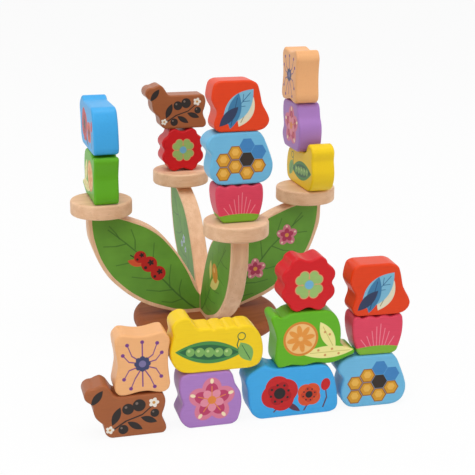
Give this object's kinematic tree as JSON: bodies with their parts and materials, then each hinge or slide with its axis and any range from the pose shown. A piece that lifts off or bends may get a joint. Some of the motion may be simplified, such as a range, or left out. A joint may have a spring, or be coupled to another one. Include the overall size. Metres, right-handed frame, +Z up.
{
  "type": "wooden balance stacking game",
  "caption": "Wooden balance game: leaves rise from a round foot and carry round landings, and loose painted blocks stack on the landings and on the table beside it.",
  "frame": {"origin": "middle of the underside of the round foot, on the surface that it stands on", "axes": "+X to the right along the left and right leaves, +Y backwards, away from the row of blocks on the table, +Z up"},
  "size_m": [0.2481, 0.3101, 0.2309],
  "materials": {
    "bare_wood": "smooth bare beech",
    "brown_stained_wood": "smooth brown stain",
    "brown_painted_wood": "satin paint with a printed face",
    "peach_painted_wood": "satin paint with a printed face",
    "purple_painted_wood": "satin paint with a printed face",
    "yellow_painted_wood": "satin paint with a printed face",
    "blue_painted_wood": "satin paint with a printed face",
    "green_painted_wood": "satin paint with a printed face",
    "red_painted_wood": "satin paint with a printed face",
    "light_blue_painted_wood": "satin paint with a printed face",
    "pink_painted_wood": "satin paint with a printed face",
    "orange_painted_wood": "satin paint with a printed face"
  },
  "bodies": {
    "plant": {"base": "brown_stained_wood", "left_right_leaf_board": "bare_wood", "front_back_leaf_board": "bare_wood", "left_disc": "bare_wood", "right_disc": "bare_wood", "front_disc": "bare_wood", "back_disc": "bare_wood", "left_dowel": "bare_wood", "right_dowel": "bare_wood", "front_dowel": "bare_wood", "back_dowel": "bare_wood"},
    "green_block_on_landing": {"green_block_on_landing": "green_painted_wood"},
    "blue_block_on_landing": {"blue_block_on_landing": "blue_painted_wood"},
    "yellow_block_on_landing": {"yellow_block_on_landing": "yellow_painted_wood"},
    "purple_block_on_landing": {"purple_block_on_landing": "purple_painted_wood"},
    "peach_block_on_landing": {"peach_block_on_landing": "peach_painted_wood"},
    "pink_block_on_landing": {"pink_block_on_landing": "pink_painted_wood"},
    "light_blue_block_on_landing": {"light_blue_block_on_landing": "light_blue_painted_wood"},
    "orange_block_on_landing": {"orange_block_on_landing": "orange_painted_wood"},
    "red_block_on_landing": {"red_block_on_landing": "red_painted_wood"},
    "brown_block_on_landing": {"brown_block_on_landing": "brown_painted_wood"},
    "brown_block_on_table": {"brown_block_on_table": "brown_painted_wood"},
    "peach_block_on_table": {"peach_block_on_table": "peach_painted_wood"},
    "purple_block_on_table": {"purple_block_on_table": "purple_painted_wood"},
    "yellow_block_on_table": {"yellow_block_on_table": "yellow_painted_wood"},
    "blue_block_on_table": {"blue_block_on_table": "blue_painted_wood"},
    "green_block_on_table": {"green_block_on_table": "green_painted_wood"},
    "red_block_on_table": {"red_block_on_table": "red_painted_wood"},
    "light_blue_block_on_table": {"light_blue_block_on_table": "light_blue_painted_wood"},
    "pink_block_on_table": {"pink_block_on_table": "pink_painted_wood"},
    "orange_block_on_table": {"orange_block_on_table": "orange_painted_wood"}
  },
  "joints": [
    {"name": "green_block_on_landing_lift", "type": "slide", "parent": "plant", "child": "green_block_on_landing", "axis": [0, 0, 1], "range_m": [0, 0.06]},
    {"name": "blue_block_on_landing_lift", "type": "slide", "parent": "green_block_on_landing", "child": "blue_block_on_landing", "axis": [0, 0, 1], "range_m": [0, 0.06]},
    {"name": "yellow_block_on_landing_lift", "type": "slide", "parent": "plant", "child": "yellow_block_on_landing", "axis": [0, 0, 1], "range_m": [0, 0.06]},
    {"name": "purple_block_on_landing_lift", "type": "slide", "parent": "yellow_block_on_landing", "child": "purple_block_on_landing", "axis": [0, 0, 1], "range_m": [0, 0.06]},
    {"name": "peach_block_on_landing_lift", "type": "slide", "parent": "purple_block_on_landing", "child": "peach_block_on_landing", "axis": [0, 0, 1], "range_m": [0, 0.06]},
    {"name": "pink_block_on_landing_lift", "type": "slide", "parent": "plant", "child": "pink_block_on_landing", "axis": [0, 0, 1], "range_m": [0, 0.06]},
    {"name": "light_blue_block_on_landing_lift", "type": "slide", "parent": "pink_block_on_landing", "child": "light_blue_block_on_landing", "axis": [0, 0, 1], "range_m": [0, 0.06]},
    {"name": "orange_block_on_landing_lift", "type": "slide", "parent": "light_blue_block_on_landing", "child": "orange_block_on_landing", "axis": [0, 0, 1], "range_m": [0, 0.06]},
    {"name": "red_block_on_landing_lift", "type": "slide", "parent": "plant", "child": "red_block_on_landing", "axis": [0, 0, 1], "range_m": [0, 0.06]},
    {"name": "brown_block_on_landing_lift", "type": "slide", "parent": "red_block_on_landing", "child": "brown_block_on_landing", "axis": [0, 0, 1], "range_m": [0, 0.06]},
    {"name": "brown_block_on_table_draw", "type": "slide", "parent": "plant", "child": "brown_block_on_table", "axis": [0, -1, 0], "range_m": [0, 0.04]},
    {"name": "peach_block_on_table_lift", "type": "slide", "parent": "brown_block_on_table", "child": "peach_block_on_table", "axis": [0, 0, 1], "range_m": [0, 0.05]},
    {"name": "purple_block_on_table_draw", "type": "slide", "parent": "plant", "child": "purple_block_on_table", "axis": [0, -1, 0], "range_m": [0, 0.04]},
    {"name": "yellow_block_on_table_lift", "type": "slide", "parent": "purple_block_on_table", "child": "yellow_block_on_table", "axis": [0, 0, 1], "range_m": [0, 0.05]},
    {"name": "blue_block_on_table_draw", "type": "slide", "parent": "plant", "child": "blue_block_on_table", "axis": [0, -1, 0], "range_m": [0, 0.04]},
    {"name": "green_block_on_table_draw", "type": "slide", "parent": "blue_block_on_table", "child": "green_block_on_table", "axis": [0, -1, 0], "range_m": [0, 0.025]},
    {"name": "red_block_on_table_lift", "type": "slide", "parent": "green_block_on_table", "child": "red_block_on_table", "axis": [0, 0, 1], "range_m": [0, 0.05]},
    {"name": "light_blue_block_on_table_draw", "type": "slide", "parent": "plant", "child": "light_blue_block_on_table", "axis": [0, -1, 0], "range_m": [0, 0.04]},
    {"name": "pink_block_on_table_lift", "type": "slide", "parent": "light_blue_block_on_table", "child": "pink_block_on_table", "axis": [0, 0, 1], "range_m": [0, 0.05]},
    {"name": "orange_block_on_table_lift", "type": "slide", "parent": "pink_block_on_table", "child": "orange_block_on_table", "axis": [0, 0, 1], "range_m": [0, 0.05]}
  ]
}
